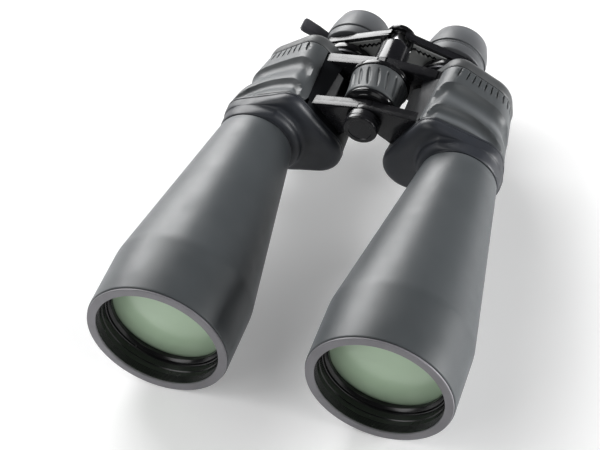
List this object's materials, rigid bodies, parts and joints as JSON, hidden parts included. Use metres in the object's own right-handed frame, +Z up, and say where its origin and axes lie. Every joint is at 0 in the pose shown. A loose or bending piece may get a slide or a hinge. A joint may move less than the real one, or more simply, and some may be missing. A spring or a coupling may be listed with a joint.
{
  "type": "binoculars",
  "caption": "Large porro-prism zoom binoculars with bell-shaped objective barrels, centre hinge and focus wheel, zoom lever and rubber armour.",
  "frame": {"origin": "centre of the bounding box in plan, on the plane that the two bells lie on", "axes": "+Y from the objectives to the eyepieces, +Z up through the focus wheel, +X to the user's left"},
  "size_m": [0.2254, 0.304, 0.0894],
  "materials": {
    "ring_grey": "satin anodised grey ring",
    "cell_black": "gloss black anodised",
    "coated_glass": "green anti-reflection coating",
    "barrel_alloy": "black anodised tube",
    "barrel_rubber": "matte rubber armour with a soft sheen",
    "housing_rubber": "matte grey rubber armour",
    "eyecup_rubber": "soft matte rubber",
    "cover_black": "smooth satin black cover",
    "bridge_black": "satin black cast metal",
    "prism_glass": "polished glass",
    "spring_steel": "plain steel",
    "band_steel": "grey steel band",
    "axle_steel": "turned steel",
    "gloss_black": "gloss black",
    "brass": "turned brass",
    "cap_black": "satin black moulding",
    "lever_plastic": "textured dark grey moulding",
    "eye_glass": "coated eyepiece glass in a black mount"
  },
  "bodies": {
    "left_half": {"objective_ring_left": "ring_grey", "lens_retainer_left": "cell_black", "crown_lens_left": "coated_glass", "flint_lens_left": "coated_glass", "objective_cell_left": "cell_black", "barrel_left": "barrel_alloy", "barrel_rubber_left": "barrel_rubber", "front_cover_left": "cover_black", "prism_housing_left": "bridge_black", "housing_rubber_left": "housing_rubber", "rear_cover_left": "cover_black", "cover_screws_left": "spring_steel", "first_prism_left": "prism_glass", "second_prism_left": "prism_glass", "prism_clips_left": "spring_steel", "hinge_axle": "axle_steel", "rear_sleeve": "gloss_black", "tripod_insert": "brass"},
    "right_half": {"objective_ring_right": "ring_grey", "lens_retainer_right": "cell_black", "crown_lens_right": "coated_glass", "flint_lens_right": "coated_glass", "objective_cell_right": "cell_black", "barrel_right": "barrel_alloy", "barrel_rubber_right": "barrel_rubber", "front_cover_right": "cover_black", "prism_housing_right": "bridge_black", "housing_rubber_right": "housing_rubber", "rear_cover_right": "cover_black", "cover_screws_right": "spring_steel", "first_prism_right": "prism_glass", "second_prism_right": "prism_glass", "prism_clips_right": "spring_steel"},
    "focus_wheel": {"focus_wheel": "gloss_black", "focus_wheel_rubber": "housing_rubber", "focus_nut": "brass"},
    "left_eyepiece": {"eyepiece_arm_left": "bridge_black", "eyepiece_tube_left": "barrel_alloy", "zoom_band_left": "band_steel", "focus_shaft": "axle_steel", "hub_screw": "axle_steel"},
    "right_eyepiece": {"eyepiece_arm_right": "bridge_black", "eyepiece_tube_right": "barrel_alloy", "zoom_band_right": "band_steel", "eye_lens_right": "eye_glass", "eyecup_right": "eyecup_rubber", "eyepiece_collar": "cap_black"},
    "right_zoom_ring": {"zoom_ring_right": "eyecup_rubber", "zoom_drum_right": "cap_black", "zoom_lever": "lever_plastic"},
    "left_zoom_ring": {"zoom_ring_left": "eyecup_rubber", "zoom_drum_left": "cap_black"},
    "right_zoom_lenses": {"zoom_lenses_right": "eye_glass"},
    "left_zoom_lenses": {"zoom_lenses_left": "eye_glass"},
    "dioptre_ring": {"dioptre_ring": "cap_black"},
    "left_ocular": {"eye_lens_left": "eye_glass", "eyecup_left": "eyecup_rubber"},
    "cap_washer": {"cap_washer": "cap_black"},
    "hinge_cap": {"hinge_cap": "cap_black"}
  },
  "joints": [
    {"name": "interpupillary_hinge", "type": "hinge", "parent": "left_half", "child": "right_half", "pos_m": [0, 0.068, 0.0612], "axis": [0, 1, 0], "range_deg": [-28, 8]},
    {"name": "left_focus_slide", "type": "slide", "parent": "left_half", "child": "left_eyepiece", "axis": [0, 1, 0], "range_m": [-0.0035, 0.0065]},
    {"name": "right_focus_slide", "type": "slide", "parent": "right_half", "child": "right_eyepiece", "axis": [0, 1, 0], "range_m": [-0.00351, 0.00651]},
    {"name": "focus_turn", "type": "hinge", "parent": "left_half", "child": "focus_wheel", "pos_m": [0, 0.065, 0.0612], "axis": [0, 1, 0], "range_deg": [-158.5, 293.5]},
    {"name": "right_zoom_slide", "type": "slide", "parent": "right_eyepiece", "child": "right_zoom_lenses", "axis": [0, 1, 0], "range_m": [-0.00422, 0.00578]},
    {"name": "left_zoom_slide", "type": "slide", "parent": "left_eyepiece", "child": "left_zoom_lenses", "axis": [0, 1, 0], "range_m": [-0.00423, 0.00579]},
    {"name": "zoom_turn", "type": "hinge", "parent": "right_eyepiece", "child": "right_zoom_ring", "pos_m": [-0.0345, 0.128, 0.039], "axis": [0, 1, 0], "range_deg": [-38.5, 52.5]},
    {"name": "left_zoom_turn", "type": "hinge", "parent": "left_eyepiece", "child": "left_zoom_ring", "pos_m": [0.0345, 0.128, 0.039], "axis": [0, 1, 0], "range_deg": [-38.5, 52.5]},
    {"name": "dioptre_slide", "type": "slide", "parent": "left_eyepiece", "child": "left_ocular", "axis": [0, 1, 0], "range_m": [-0.001, 0.001]},
    {"name": "dioptre_turn", "type": "hinge", "parent": "left_eyepiece", "child": "dioptre_ring", "pos_m": [0.0345, 0.134, 0.039], "axis": [0, 1, 0], "range_deg": [-45.5, 45.5]},
    {"name": "cap_turn", "type": "hinge", "parent": "left_half", "child": "cap_washer", "pos_m": [0, 0.0415, 0.0612], "axis": [0, 1, 0], "range_deg": [-5, 1805]},
    {"name": "cap_slide", "type": "slide", "parent": "cap_washer", "child": "hinge_cap", "axis": [0, -1, 0], "range_m": [0, 0.00635]}
  ],
  "couplings": [
    {"joint": "right_focus_slide", "follows": "left_focus_slide", "ratio": 1},
    {"joint": "focus_turn", "follows": "left_focus_slide", "rad_per_m": 785.4},
    {"joint": "left_zoom_slide", "follows": "right_zoom_slide", "ratio": 1},
    {"joint": "zoom_turn", "follows": "right_zoom_slide", "rad_per_m": 157.08},
    {"joint": "left_zoom_turn", "follows": "right_zoom_slide", "rad_per_m": 157.08},
    {"joint": "dioptre_turn", "follows": "dioptre_slide", "rad_per_m": 785.4},
    {"joint": "cap_turn", "follows": "cap_slide", "rad_per_m": 4947.4}
  ]
}
